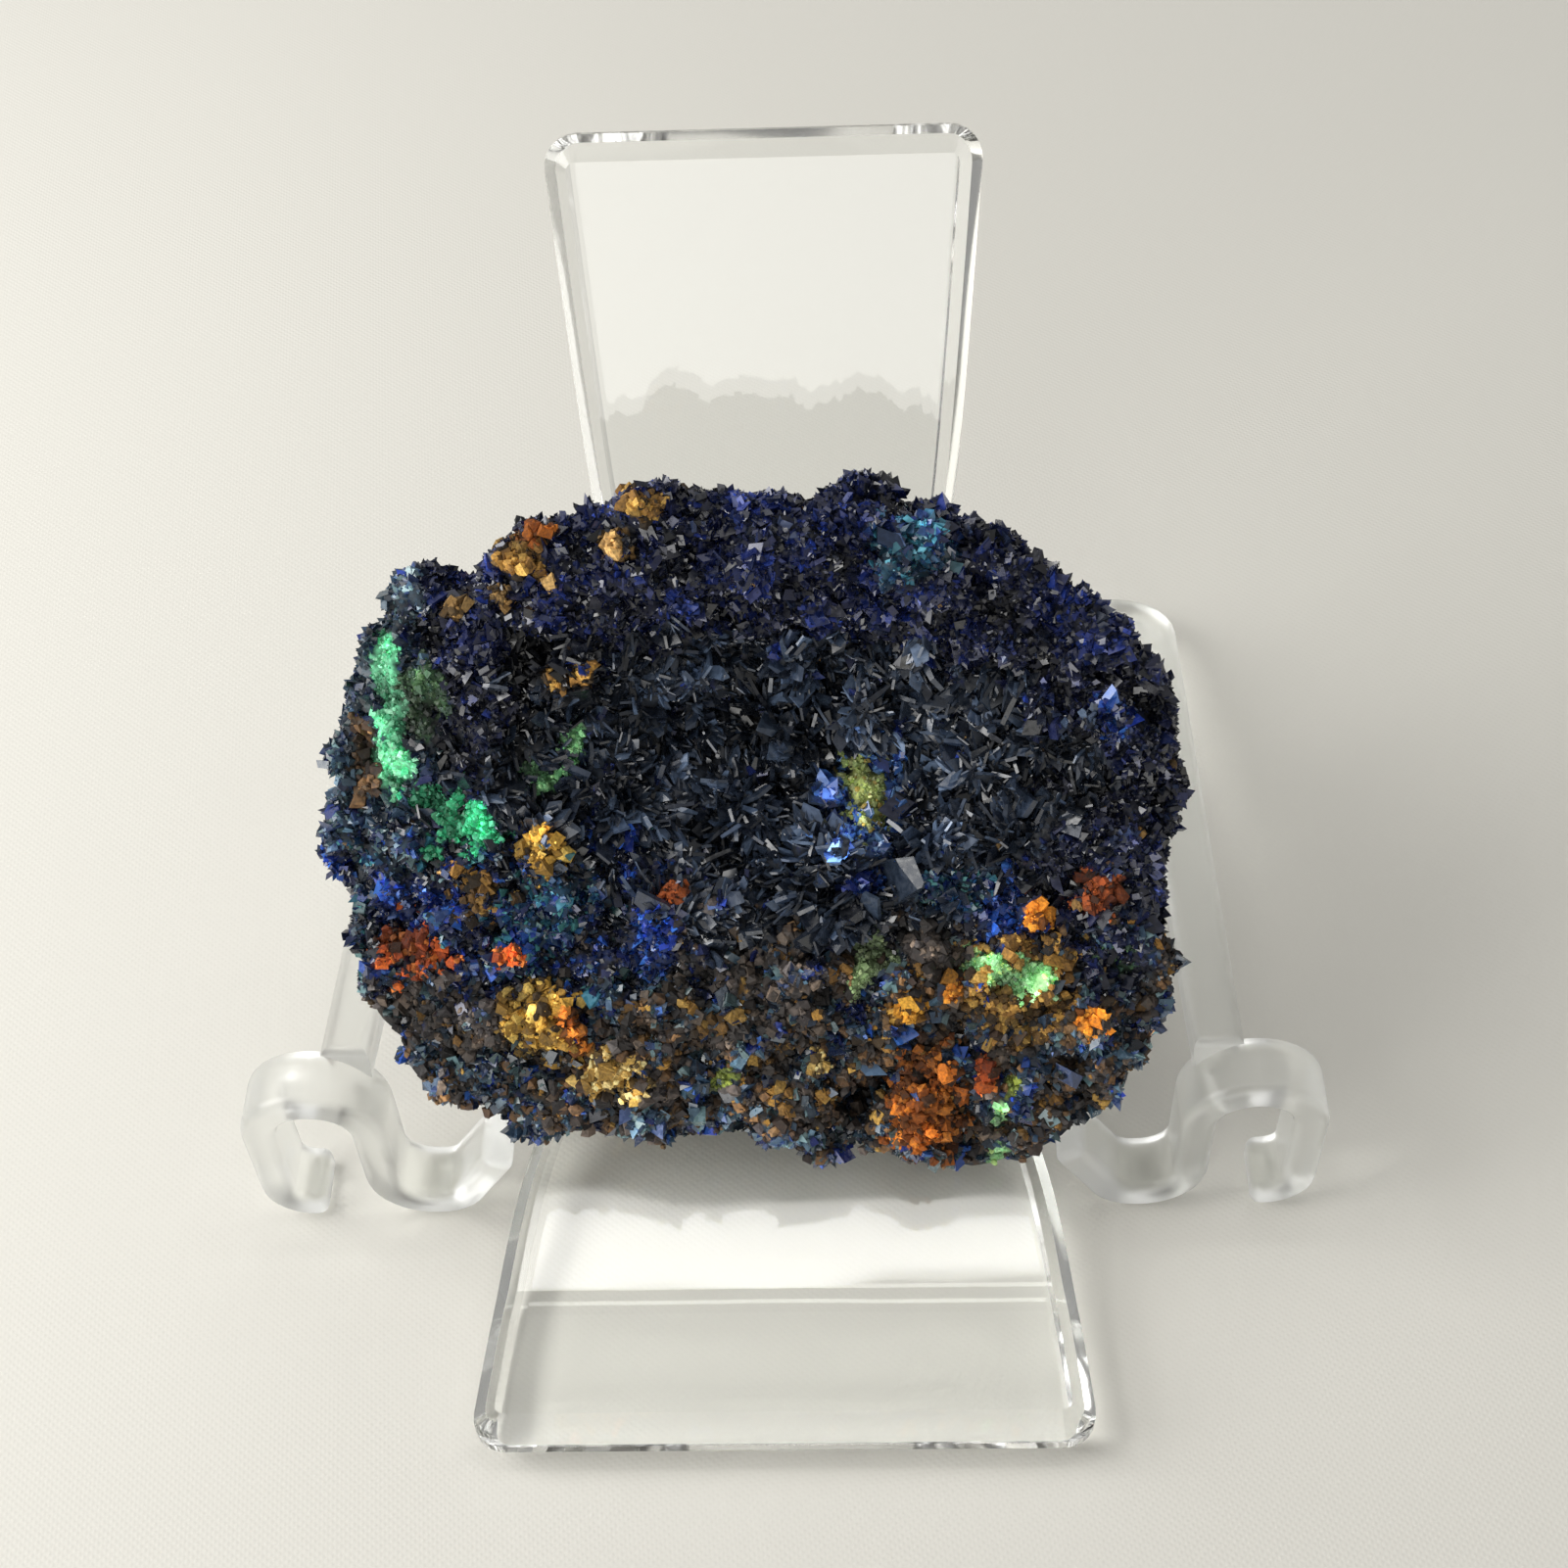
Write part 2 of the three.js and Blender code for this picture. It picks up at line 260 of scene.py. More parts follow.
# %% Middle line of the back piece
FRONT_Y = -38.1
BACK_PLATE = 4.0
FOOT_FLAT = 10.0
FOOT_RISE = math.radians(8)
FOOT_BEND_RADIUS = 14.0
BACK_LEAN = math.radians(63)
BACK_LINE_DEPTH = 38.0 + BACK_PLATE / 2 / math.sin(BACK_LEAN)
BACK_HEIGHT = 56.6
KNEE_RADIUS = 7.0
LINE_STEP = 0.02

knee_depth = BACK_PLATE / 2 - FOOT_FLAT * math.tan(FOOT_RISE) + BACK_LINE_DEPTH * math.tan(BACK_LEAN)
knee_depth /= math.tan(BACK_LEAN) - math.tan(FOOT_RISE)
knee_height = (knee_depth - BACK_LINE_DEPTH) * math.tan(BACK_LEAN)
top_height = BACK_HEIGHT - BACK_PLATE / 2 * math.cos(BACK_LEAN)
foot_cut = FOOT_BEND_RADIUS * math.tan(FOOT_RISE / 2)
knee_cut = KNEE_RADIUS * math.tan((BACK_LEAN - FOOT_RISE) / 2)

# Lengths along the line at which the heading starts or stops to turn.
stretches = [
    FOOT_FLAT - foot_cut,
    FOOT_BEND_RADIUS * FOOT_RISE,
    (knee_depth - FOOT_FLAT) / math.cos(FOOT_RISE) - foot_cut - knee_cut,
    KNEE_RADIUS * (BACK_LEAN - FOOT_RISE),
    (top_height - knee_height) / math.sin(BACK_LEAN) - knee_cut,
]
turns = np.concatenate([[0], np.cumsum(stretches)])
along_line = np.arange(0, turns[-1] + LINE_STEP, LINE_STEP)
heading = np.interp(along_line, turns, [0, 0, FOOT_RISE, FOOT_RISE, BACK_LEAN, BACK_LEAN])
depth_at = np.cumsum(np.cos(heading)) * LINE_STEP
height_at = BACK_PLATE / 2 + np.cumsum(np.sin(heading)) * LINE_STEP
print("plate length", round(turns[-1], 2), "top at", round(height_at[-1], 2), "mm")

# %% Outline, thickness and chamfers
HALF_WIDTHS = [
    (0, 20.7),
    (10, 19.8),
    (20, 18.3),
    (28, 15.9),
    (34.5, 12.9),
    (40, 10.9),
    (46, 10.4),
    (56, 11),
    (76, 13.1),
    (103, 15.2),
]
CORNER_RADIUS = 2.4
EDGE_CHAMFER = 1.6


def half_width(along):
    stations, halves = np.array(HALF_WIDTHS).T
    slopes = np.gradient(halves, stations)
    i = int(np.clip(np.searchsorted(stations, along) - 1, 0, len(stations) - 2))
    span = stations[i + 1] - stations[i]
    t = (along - stations[i]) / span
    ends = (2 * t**3 - 3 * t**2 + 1) * halves[i] + (3 * t**2 - 2 * t**3) * halves[i + 1]
    return ends + span * ((t**3 - 2 * t**2 + t) * slopes[i] + (t**3 - t**2) * slopes[i + 1])


def thicken_and_round(bm, thickness, radius, segments):
    """Gives a flat face a thickness along +Z and rounds every edge of its outline, or chamfers it with one segment."""
    grown = bmesh.ops.extrude_face_region(bm, geom=bm.faces[:])["geom"]
    bmesh.ops.translate(bm, verts=[g for g in grown if isinstance(g, bmesh.types.BMVert)], vec=(0, 0, thickness))
    bmesh.ops.recalc_face_normals(bm, faces=bm.faces)
    flat = [f for f in bm.faces if abs(f.normal.z) > 0.9]
    rims = {e for f in flat for e in f.edges}
    bmesh.ops.bevel(
        bm,
        geom=list(rims),
        offset=radius,
        segments=segments,
        profile=0.5,
        affect="EDGES",
        material=-1,
        clamp_overlap=False,
    )


bm = bmesh.new()
bmesh.ops.create_grid(bm, x_segments=1, y_segments=60, size=1)
for vert in bm.verts:
    along = (vert.co.y + 1) / 2 * turns[-1]
    vert.co = (math.copysign(half_width(along), vert.co.x), along, -BACK_PLATE / 2)
bmesh.ops.dissolve_edges(bm, edges=[e for e in bm.edges if not e.is_boundary])
# The corners need a clear stretch of edge on both sides.
to_end = {v: min(v.co.y, turns[-1] - v.co.y) for v in bm.verts}
bmesh.ops.dissolve_verts(bm, verts=[v for v, left in to_end.items() if 1e-4 < left < 2 * CORNER_RADIUS])
ends = [v for v in bm.verts if min(v.co.y, turns[-1] - v.co.y) < 1e-4]
bmesh.ops.bevel(
    bm, geom=ends, offset=CORNER_RADIUS, segments=6, profile=0.5, affect="VERTICES", material=-1, clamp_overlap=False
)
thicken_and_round(bm, BACK_PLATE, EDGE_CHAMFER, 1)
print("flat plate has", len(bm.faces), "faces")

# %% Slice and bend
slices = np.concatenate([np.linspace(turns[1], turns[2], 10), np.linspace(turns[3], turns[4], 26)])
for cut in slices:
    bmesh.ops.bisect_plane(bm, geom=bm.verts[:] + bm.edges[:] + bm.faces[:], plane_co=(0, cut, 0), plane_no=(0, 1, 0))
for vert in bm.verts:
    x, along, out = vert.co
    turn = np.interp(along, along_line, heading)
    depth = np.interp(along, along_line, depth_at) - out * math.sin(turn)
    height = np.interp(along, along_line, height_at) + out * math.cos(turn)
    vert.co = Vector((x, FRONT_Y + depth, max(height, 0))) * MM
bmesh.ops.recalc_face_normals(bm, faces=bm.faces)


def finish_moulding(bm, name, node, material):
    """Turns a bmesh into a smooth-shaded piece of clear plastic that stands for a CAD node."""
    mesh = bpy.data.meshes.new(name)
    bm.to_mesh(mesh)
    bm.free()
    mesh.shade_smooth()
    mesh.set_sharp_from_angle(angle=math.radians(30))
    piece = place_mesh(name, mesh, material)
    piece.modifiers.new("even shading", "WEIGHTED_NORMAL").keep_sharp = True
    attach(piece, "root")
    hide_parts(node)
    return piece


easel_back = finish_moulding(bm, "easel_back_moulding", "easel_back", glossy_plastic)
print(easel_back.name, len(easel_back.data.polygons), "faces")

# %% [markdown]
# ## Easel cradle
# The second moulding is a forked plate that slopes down to the table behind. Each arm ends in front in an S-shaped
# scroll, a ribbon that makes a cup for the stone and curls out to a hook. The ribbon starts as its own cross-section:
# straight stretches are extruded and the curls are spun. The three shapes are joined by a boolean, so that light
# meets no inner walls.

# %% Forked plate
CRADLE_PLATE = 3.0
CRADLE_SLOPE = math.radians(13.1)
CRADLE_EDGE = 0.8
REAR_EDGE_DEPTH = 76.2 - CRADLE_PLATE * math.sin(CRADLE_SLOPE)
# x, depth and corner radius, from the rear corner round the right arm to the recess for the neck
FORK = [
    (32.5, REAR_EDGE_DEPTH, 5),
    (31.2, 21.8, 0),
    (27.8, 21.8, 0),
    (27.8, 43.5, 4),
    (11.2, 43.5, 1),
    (11.2, 47.6, 1),
]

bm = bmesh.new()
outline = FORK + [(-x, depth, radius) for x, depth, radius in reversed(FORK)]
verts = [bm.verts.new((x, (REAR_EDGE_DEPTH - depth) / math.cos(CRADLE_SLOPE), 0)) for x, depth, radius in outline]
bm.faces.new(verts)
for radius in (5, 4, 1):
    rounded = [v for v, row in zip(verts, outline) if row[2] == radius]
    bmesh.ops.bevel(
        bm, geom=rounded, offset=radius, segments=7, profile=0.5, affect="VERTICES", material=-1, clamp_overlap=False
    )
thicken_and_round(bm, CRADLE_PLATE, CRADLE_EDGE, 4)
# Seen from above the sheet was drawn from the rear edge forwards, so it is turned round and tilted.
tilt = Matrix.Translation((0, FRONT_Y + REAR_EDGE_DEPTH, 0)) @ Matrix.Rotation(-CRADLE_SLOPE, 4, "X")
bmesh.ops.transform(bm, matrix=tilt @ Matrix.Rotation(math.pi, 4, "Z"), verts=bm.verts)
bmesh.ops.scale(bm, vec=(MM, MM, MM), verts=bm.verts)
fork_mesh = bpy.data.meshes.new("fork")
bm.to_mesh(fork_mesh)
bm.free()
print("fork", len(fork_mesh.polygons), "faces")

# %% Scrolls
SCROLL_THICKNESS = 2.4
SCROLL_WIDTH = 4.6
SCROLL_FRONT = 18.6
SCROLL_EDGE = 0.75
ARC_STEP = math.radians(9)
# x, height and bend radius of the ribbon's middle line, from the cup's lip to the end of the hook
SCROLL = [
    (19.6, 7, 0),
    (23.2, 1.2, 2.5),
    (28.2, 1.2, 3.3),
    (28.2, 13.8, 3.7),
    (35.8, 13.8, 3.7),
    (35.8, 1.2, 2.2),
    (32.7, 1.2, 0),
]

points = [Vector((x, z)) for x, z, radius in SCROLL]
middle_y = FRONT_Y + SCROLL_FRONT + SCROLL_WIDTH / 2
bm = bmesh.new()
bmesh.ops.create_grid(bm, x_segments=1, y_segments=1, size=0.5)
bmesh.ops.scale(bm, vec=(SCROLL_THICKNESS, SCROLL_WIDTH, 1), verts=bm.verts)
first = (points[1] - points[0]).normalized()
turned = Matrix.Rotation(math.atan2(first.x, first.y), 4, "Y")
bmesh.ops.transform(
    bm, matrix=Matrix.Translation((points[0].x, middle_y, points[0].y)) @ turned, verts=bm.verts
)
tip = bm.faces[:]
at = points[0]
for i in range(1, len(points)):
    before = (points[i] - points[i - 1]).normalized()
    radius = SCROLL[i][2]
    cut = 0
    if radius:
        after = (points[i + 1] - points[i]).normalized()
        turn = before.angle_signed(after)
        cut = radius * math.tan(abs(turn) / 2)
    step = points[i] - before * cut - at
    if step.length > 1e-4:
        grown = bmesh.ops.extrude_face_region(bm, geom=tip)["geom"]
        bmesh.ops.translate(bm, verts=[g for g in grown if isinstance(g, bmesh.types.BMVert)], vec=(step.x, 0, step.y))
        tip = [g for g in grown if isinstance(g, bmesh.types.BMFace)]
        at = at + step
    if radius:
        side = Vector((before.y, -before.x)) * math.copysign(radius, turn)
        centre = at + side
        spun = bmesh.ops.spin(
            bm,
            geom=tip,
            cent=(centre.x, middle_y, centre.y),
            axis=(0, 1, 0),
            dvec=(0, 0, 0),
            angle=turn,
            steps=max(2, round(abs(turn) / ARC_STEP)),
        )
        tip = [g for g in spun["geom_last"] if isinstance(g, bmesh.types.BMFace)]
        at = points[i] + after * cut
bmesh.ops.remove_doubles(bm, verts=bm.verts, dist=1e-4)
# Each step leaves the face that it started from standing inside the ribbon.
inner = [f for f in bm.faces if all(len(e.link_faces) > 2 for e in f.edges)]
bmesh.ops.delete(bm, geom=inner, context="FACES_ONLY")
bmesh.ops.recalc_face_normals(bm, faces=bm.faces)
sharp = [e for e in bm.edges if e.is_manifold and e.calc_face_angle() > math.radians(60)]
bmesh.ops.bevel(
    bm, geom=sharp, offset=SCROLL_EDGE, segments=4, profile=0.5, affect="EDGES", material=-1, clamp_overlap=False
)
bmesh.ops.scale(bm, vec=(MM, MM, MM), verts=bm.verts)
scroll_mesh = bpy.data.meshes.new("scroll")
bm.to_mesh(scroll_mesh)
print("scroll", len(scroll_mesh.polygons), "faces, open edges", sum(not e.is_manifold for e in bm.edges))
bmesh.ops.mirror(bm, geom=bm.verts[:] + bm.edges[:] + bm.faces[:], axis="X", merge_dist=0)
twin_mesh = bpy.data.meshes.new("both scrolls")
bmesh.ops.recalc_face_normals(bm, faces=bm.faces)
bm.to_mesh(twin_mesh)
bm.free()

# %% Join fork and scrolls
fork = place_mesh("fork", fork_mesh, satin_plastic)
scrolls = place_mesh("both_scrolls", twin_mesh, satin_plastic)
union = fork.modifiers.new("join", "BOOLEAN")
union.operation = "UNION"
union.solver = "EXACT"
union.object = scrolls
bpy.context.view_layer.update()
joined = bpy.data.meshes.new_from_object(fork.evaluated_get(bpy.context.evaluated_depsgraph_get()))
for helper in (fork, scrolls):
    bpy.data.objects.remove(helper)
bm = bmesh.new()
bm.from_mesh(joined)
for vert in bm.verts:
    vert.co.z = max(vert.co.z, 0)
easel_cradle = finish_moulding(bm, "easel_cradle_moulding", "easel_cradle", satin_plastic)
print(easel_cradle.name, len(easel_cradle.data.polygons), "faces")

# %% [markdown]
# ## The rock
# The rock under the crystals starts as a copy of the CAD solid. Its triangles are merged, subdivided to a smooth
# surface and roughened with fractal noise, finer grain on coarser lumps. Close to the plastic the noise fades out, so
# that the stone rests without cutting into its stand.

# %% Rough rock
NEAR = 0.6 * MM
FAR = 2.5 * MM

bm = bmesh.new()
bm.from_mesh(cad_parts["azurite_specimen"].data)
bmesh.ops.remove_doubles(bm, verts=bm.verts, dist=1e-6)
rock_mesh = bpy.data.meshes.new("rock")
bm.to_mesh(rock_mesh)
bm.free()
smooth = bpy.data.objects.new("rock_cage", rock_mesh)
scene.collection.objects.link(smooth)
rounding = smooth.modifiers.new("round", "SUBSURF")
rounding.levels = rounding.render_levels = 2
bpy.context.view_layer.update()
rock_mesh = bpy.data.meshes.new_from_object(smooth.evaluated_get(bpy.context.evaluated_depsgraph_get()))
bpy.data.objects.remove(smooth)

stand = bmesh.new()
for node in ("easel_back", "easel_cradle"):
    stand.from_mesh(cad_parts[node].data)
stand_tree = BVHTree.FromBMesh(stand)
stand.free()


def room(point):
    """1 well away from the stand and 0 close to it."""
    found = stand_tree.find_nearest(Vector(point))
    t = min(max((found[3] - NEAR) / (FAR - NEAR), 0), 1)
    return t * t * (3 - 2 * t)


def wander(points, size, seed):
    """A smooth random number for each point, about -1 to 1, that changes over a size in mm."""
    shift = Vector((seed * 13.7, seed * 7.1, seed * 3.3))
    return np.array([noise.fractal(Vector(p) / size + shift, 0.8, 2, 2) for p in points])


points = np.array([v.co for v in rock_mesh.vertices]) / MM
normals = np.array([v.normal for v in rock_mesh.vertices])
rooms = np.array([room(p * MM) for p in points])
relief = 1.0 * wander(points, 4, 5) + 0.9 * wander(points, 1.7, 9) + 0.18 * wander(points, 0.6, 6)
points = points + normals * (relief * rooms)[:, None]
print("rock", len(points), "points, relief up to", round(float(relief.max()), 2), "mm")

# %% [markdown]
# ## Where each mineral sits
# The face is read in millimetres: u to the right and v up, from the middle of the slab. Each crust or lump is an
# ellipse on the face with a wavy edge. A point takes the last ellipse that it falls in, and elsewhere the druse that
# grows in its part of the slab. To lie where the eye sees them, points are carried to the face along the line of sight.

# %% The face and its mineral patches
STONE_MIDDLE = np.array((-1.0, FRONT_Y + 31.3, 26.5))
FACE_LEAN = math.radians(56)
FACE_UP = np.array((0, math.cos(FACE_LEAN), math.sin(FACE_LEAN)))
FACE_OUT = np.array((0, -math.sin(FACE_LEAN), math.cos(FACE_LEAN)))

# finish: kind of crystal, lift in mm, and its colours
FINISHES = {
    "charcoal": ("blade", 0, "13171f 1c222c 252d3a 2e394b 3c485a 181e2a".split()),
    "navy": ("druse", 0, "0a1236 121d4c 0e1632 0c1122 182864 121c40".split()),
    "midnight": ("druse", 0, "0a0d1c 10142c 0d1122 161c3c 1c2438 0c0f16".split()),
    "slate": ("druse", 0, "202c38 2e4054 223050 3c5262 1a2432 4c6266".split()),
    "blue": ("druse", 0.1, "101f58 182e80 132248 204490 0e183c 2c5498".split()),
    "bluegreen": ("druse", 0.1, "162c5c 20466c 182e4c 2e6072 14245a 3c7070".split()),
    "teal": ("druse", 0.1, "1c3c50 2c5e70 182f50 1e3246 3a7080 16264a".split()),
    "druse_light": ("druse", 0.2, "223c84 3a589c 4c74b4 1c306c 345a98 7098c8".split()),
    "matrix": ("grain", 0.1, "3a3431 4a423d 2a2625 5e5248 221f20 44403f".split()),
    "umber": ("grain", 0.2, "382a20 4a3828 5a452e 241c18 6c5034".split()),
    # The hole is a real dent in the rock, and its near-black colours are painted shade in it.
    "hole": ("blade", -2.2, "06070a 090b10 0c0e14 10131c".split()),
    "back": ("grain", 0, "2c2620 3a3128 1f1c1a 463a2c 262a34 1b2030".split()),
    "mint": ("crust", 0.25, "6cc496 8cd0aa 4cb080 38a06e 7ccca2".split()),
    "emerald": ("crust", 0.35, "24aa72 38c088 1c9260 52cc9a 32b67e".split()),
    "green_velvet": ("crust", 0.15, "24402a 2f4a2a 1a3020 3a5c38 20382c".split()),
    "leafgreen": ("crust", 0.3, "5c9a64 74b078 4a8454 88bc80 3c6c48".split()),
    "yellowgreen": ("crust", 0.5, "98a85c a8b870 84985a b4bc80 8a9c50 b09848".split()),
    "palegreen": ("crust", 0.4, "86c486 9fd09a 74b474 a8c878 8cc890".split()),
    "greygreen": ("crust", 0.25, "6c8458 7c9466 8a9a70 5c7048".split()),
    "olive": ("crust", 0.2, "6e7a34 84903c 5c6a2c".split()),
    "redorange": ("lump", 1.3, "bc5424 cc6428 a4481c d87c38 8c3c18 4c2a16".split()),
    "orange": ("lump", 0.9, "c0702a d08032 a8581c 5a3414".split()),
    "brightorange": ("lump", 1.0, "e0922e e8a03c d08024 b86a1c 6a3c14".split()),
    "redbrown": ("lump", 0.9, "84401c 984c22 6a3014 b05a2a 3a2014".split()),
    "rust": ("lump", 1.0, "8a4a16 a05c1c 6c3810 b8702a 4c2a10 945218 2e1c10".split()),
    "ochre": ("lump", 0.9, "9c7830 b08a3c 866628 c8a854 6a5020 342818".split()),
    "brownochre": ("lump", 0.6, "745428 86642e 5a4220 98783c 30261a".split()),
    "golden": ("lump", 0.9, "b88028 c89436 a07020 d8a84c 5c4018".split()),
    "cream": ("lump", 1.0, "d0b068 dcc484 c09c50 e8d898 a88440 5a4828".split()),
    "tan": ("lump", 0.8, "a88450 b8945c 927040 6a5434".split()),
}
FINISH_NAMES = list(FINISHES)
# finish, u, v, half length, half height, turn in degrees, share of the points it covers
PATCHES = [
    ("matrix", -0.3, -10.8, 5.8, 3.6, 0, 0.55),
    ("matrix", -22.5, -11.9, 4.2, 2.5, 0, 0.6),
    ("matrix", -8.9, -17.9, 3.2, 1.1, 0, 0.7),
    ("matrix", 11.3, -7.7, 2.1, 2.2, 0, 1),
    ("blue", 23.8, 7.8, 1.4, 1.4, 0, 0.9),
    ("blue", -7.5, -8.2, 1.8, 1.6, 0, 1),
    ("blue", -22.9, -3.9, 3.1, 1.8, 0, 0.9),
    ("blue", 16.4, -4.9, 2.1, 2.2, 0, 0.8),
    ("blue", 7.0, -3.2, 1.6, 1.2, 0, 0.8),
    ("bluegreen", -14.2, -4.9, 2.9, 2.7, 0, 0.9),
    ("teal", 10.5, 19.0, 2.6, 2.2, 0, 0.8),
    ("green_velvet", -21.7, 9.8, 1.8, 2.5, 0, 0.9),
    ("umber", -25.7, 6.2, 0.9, 3.2, 0, 1),
    ("mint", -23.7, 12.4, 1.0, 2.3, -10, 1),
    ("mint", -23.5, 8.9, 0.8, 2.4, 0, 1),
    ("mint", -23.8, 5.8, 1.1, 2.7, 0, 1),
    ("emerald", -19.7, 1.9, 3.1, 1.8, -28, 1),
    ("emerald", -21.6, -0.6, 0.8, 0.5, 0, 1),
    ("hole", -13.5, 12.6, 3.4, 2.0, -25, 1),
    ("brownochre", -12.0, 11.2, 1.5, 0.8, 20, 0.6),
    ("redbrown", -5.7, -3.6, 0.9, 0.7, 20, 0.9),
    ("bluegreen", 13.2, -3.6, 2.6, 1.6, 0, 0.8),
    ("green_velvet", 23.6, -8.6, 1.6, 1.5, 0, 0.8),
    ("olive", -3.0, -17.0, 1.2, 1.0, 0, 0.6),
    ("leafgreen", -12.2, 6.3, 0.9, 2.1, -20, 1),
    ("leafgreen", -14.0, 4.6, 1.4, 0.8, -25, 1),
    ("druse_light", 7.1, 2.5, 2.8, 4.0, 0, 0.9),
    ("yellowgreen", 7.1, 3.2, 1.6, 2.8, 10, 1),
    ("midnight", 23.0, -8.5, 2.6, 3.6, 0, 0.6),
    ("brownochre", 16.8, -10.5, 4.3, 3.2, -15, 0.7),
    ("palegreen", 16.8, -9.6, 3.5, 1.5, -22, 1),
    ("greygreen", 7.1, -8.4, 1.6, 2.0, 0, 1),
    ("palegreen", 15.8, -19.7, 0.7, 0.8, 0, 1),
    ("palegreen", 15.7, -22.5, 0.8, 0.9, 0, 1),
    ("redorange", -23.4, -7.3, 2.6, 2.0, -20, 1),
    ("redorange", -16.9, -8.0, 1.2, 0.4, 0, 1),
    ("ochre", -14.1, -0.5, 1.4, 1.8, 0, 0.8),
    ("brownochre", -18.7, -3.5, 1.5, 1.8, 0, 0.7),
    ("ochre", -15.1, -12.6, 2.5, 2.6, 0, 0.8),
    ("orange", -12.7, -13.4, 0.9, 1.8, 0, 0.9),
    ("cream", -10.5, -16.5, 2.3, 1.6, 15, 0.9),
    ("cream", 3.7, -15.6, 0.5, 1.0, 0, 1),
    ("brightorange", 18.5, -5.7, 0.8, 0.9, 0, 1),
    ("redbrown", 22.2, -3.9, 1.5, 1.4, 0, 0.9),
    ("brightorange", 21.9, -13.3, 1.2, 1.0, 0, 1),
    ("brightorange", 12.9, -10.6, 0.5, 0.9, 0, 1),
    ("golden", 9.3, -12.0, 1.7, 1.1, 20, 0.9),
    ("rust", 10.9, -19.0, 2.5, 4.2, 0, 1),
    ("redorange", 14.8, -17.0, 0.6, 1.5, 0, 1),
    ("olive", 16.9, -17.7, 0.5, 0.8, 0, 1),
    ("brownochre", -14.6, 19.3, 1.6, 1.2, 20, 0.8),
    ("brownochre", -6.5, 22.6, 1.3, 0.7, 0, 0.9),
    ("rust", -13.5, 20.7, 1.3, 0.5, 0, 1),
    ("tan", -8.5, 19.8, 1.0, 1.0, 0, 1),
    ("tan", -16.1, 16.7, 0.8, 0.7, 0, 1),
    ("tan", -18.9, 15.7, 0.6, 0.5, 0, 1),
]
print(len(FINISHES), "finishes on", len(PATCHES), "patches")


# %% Read a point's finish
def seen_on_face(points):
    """u and v where the line of sight to each point, in mm, meets the plane of the face."""
    eye = np.array(EYE) / MM
    rays = points - eye
    reach = ((STONE_MIDDLE - eye) @ FACE_OUT) / (rays @ FACE_OUT)
    seen = eye + rays * reach[:, None] - STONE_MIDDLE
    return seen[:, 0], seen @ FACE_UP


def read_finish(points, normals):
    """Index of the finish at each point of the stone, in mm, and how far a patch lifts it."""
    u, v = seen_on_face(points)
    stray_u = wander(points, 1.6, 1) + 0.6 * wander(points, 0.5, 7)
    stray_v = wander(points, 1.6, 2) + 0.6 * wander(points, 0.5, 8)
    spots = wander(points, 2.6, 3)
    chance = wander(points, 0.7, 4) * 0.5 + 0.5
    found = np.full(len(points), FINISH_NAMES.index("midnight"))

    def grow(name, where):
        found[where] = FINISH_NAMES.index(name)

    low = v + 2.5 * stray_v + 6 * spots < -7.5
    left = (u + stray_u < -6) & (np.abs(v + 5 + stray_v) < 6)
    grow("navy", (v + stray_v > 12) & (spots > -0.15))
    grow("navy", (spots > 0.5) & ~low)
    grow("slate", (u + stray_u < -21) | (v < -17))
    grow("charcoal", ((u - 0.5) / 20.5) ** 2 + ((v - 3.5) / 10.5) ** 2 < 1 + 0.5 * spots)
    grow("navy", (chance > 0.72) & (spots < 0) & ~low)
    grow("tan", (chance > 0.9) & (spots > 0.2) & ~low)
    grow("slate", low & (spots > 0.0))
    grow("matrix", low & (spots < 0.05))
    grow("slate", low & (chance > 0.6))
    grow("umber", low & (chance < 0.38))
    grow("brownochre", low & (np.abs(spots + 0.3) < 0.07) & (chance > 0.55))
    grow("blue", low & (np.abs(spots - 0.35) < 0.1) & (chance > 0.5))
    grow("bluegreen", left & (spots > 0.25))
    grow("blue", left & (spots < -0.2))
    grow("midnight", left & (chance < 0.4))
    lift = np.zeros(len(points))
    for name, pu, pv, length, height, turn, share in PATCHES:
        stray = min(max(0.8 * min(length, height), 0.3), 1.6)
        du, dv = u - pu + stray * stray_u, v - pv + stray * stray_v
        cos, sin = math.cos(math.radians(turn)), math.sin(math.radians(turn))
        a = (du * cos + dv * sin) / length
        b = (dv * cos - du * sin) / height
        inside = np.clip(1 - a * a - b * b, 0, 1)
        lift = np.where(inside > 0, FINISHES[name][1] * np.sqrt(inside), lift)
        grow(name, (inside > 0) & (chance <= share))
    away = (normals @ FACE_OUT < -0.25) | ((points - STONE_MIDDLE) @ FACE_OUT < -7.5)
    grow("back", away)
    return found, np.where(away, 0, lift)


rock_finish, lifts = read_finish(points, normals)
points = points + normals * (lifts * rooms)[:, None]
rock_mesh.vertices.foreach_set("co", (points * MM).astype(np.float32).ravel())
rock_mesh.update()
for name, count in zip(*np.unique(rock_finish, return_counts=True)):
    print(FINISH_NAMES[name], count)
